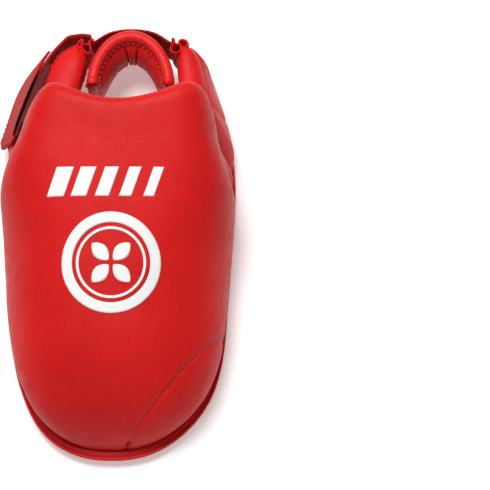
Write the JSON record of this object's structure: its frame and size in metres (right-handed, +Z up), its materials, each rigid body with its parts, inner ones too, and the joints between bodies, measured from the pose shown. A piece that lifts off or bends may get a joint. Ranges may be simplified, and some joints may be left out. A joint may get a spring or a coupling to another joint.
{
  "type": "instep guard",
  "caption": "Padded leather instep guard with a domed foam shell, ankle arms, sole and toe elastics, a padded heel sling and a hook-and-loop strap.",
  "frame": {"origin": "middle of the foot, in the plane of the rim that the guard rests on", "axes": "+X to the side away from the closure strap, +Y to the heel, +Z up, out of the instep dome"},
  "size_m": [0.1279, 0.2339, 0.0843],
  "materials": {
    "cover_leather": "satin grain",
    "lining_leather": "soft matte grain",
    "bead_leather": "satin grain",
    "padding_foam": "open cell foam",
    "woven_elastic": "ribbed weave",
    "strap_webbing": "woven webbing",
    "hook_and_loop": "fuzzy pile",
    "thread": "twisted thread",
    "print_white": "matte transfer print"
  },
  "bodies": {
    "shell": {"instep_cover": "cover_leather", "toe_side_panel": "cover_leather", "left_arm_cover": "cover_leather", "right_arm_cover": "cover_leather", "left_arm_gather": "cover_leather", "right_arm_gather": "cover_leather", "lining_left": "lining_leather", "lining_right": "lining_leather", "rim_bead": "bead_leather", "rim_piping": "bead_leather", "instep_foam": "padding_foam", "left_arm_foam": "padding_foam", "right_arm_foam": "padding_foam", "arch_band": "woven_elastic", "toe_loop": "woven_elastic", "toe_loop_tabs": "woven_elastic", "strap_anchor_tab": "strap_webbing", "arm_loop_patch": "hook_and_loop"},
    "heel_sling": {"heel_elastic": "woven_elastic", "heel_pad_foam": "padding_foam", "heel_pad_face": "lining_leather", "heel_pad_back": "cover_leather", "heel_bead_top": "bead_leather", "heel_bead_bottom": "bead_leather"},
    "closure_strap": {"strap_web": "strap_webbing", "strap_hook_patch": "hook_and_loop"},
    "strap_tail": {"tail_web": "strap_webbing", "tail_hook_patch": "hook_and_loop"}
  },
  "joints": [
    {"name": "heel_sling_fold", "type": "hinge", "parent": "shell", "child": "heel_sling", "pos_m": [0.007, 0.101, 0.028], "axis": [1, 0, 0], "range_deg": [-35, 15], "stiffness_Nm_per_rad": 0.05},
    {"name": "strap_peel", "type": "hinge", "parent": "shell", "child": "closure_strap", "pos_m": [-0.03082, 0.10263, 0.027], "axis": [0, 0, -1], "range_deg": [0, 70]},
    {"name": "tail_peel", "type": "hinge", "parent": "closure_strap", "child": "strap_tail", "pos_m": [-0.05505, 0.05779, 0.027], "axis": [0, 0, 1], "range_deg": [0, 95]}
  ]
}
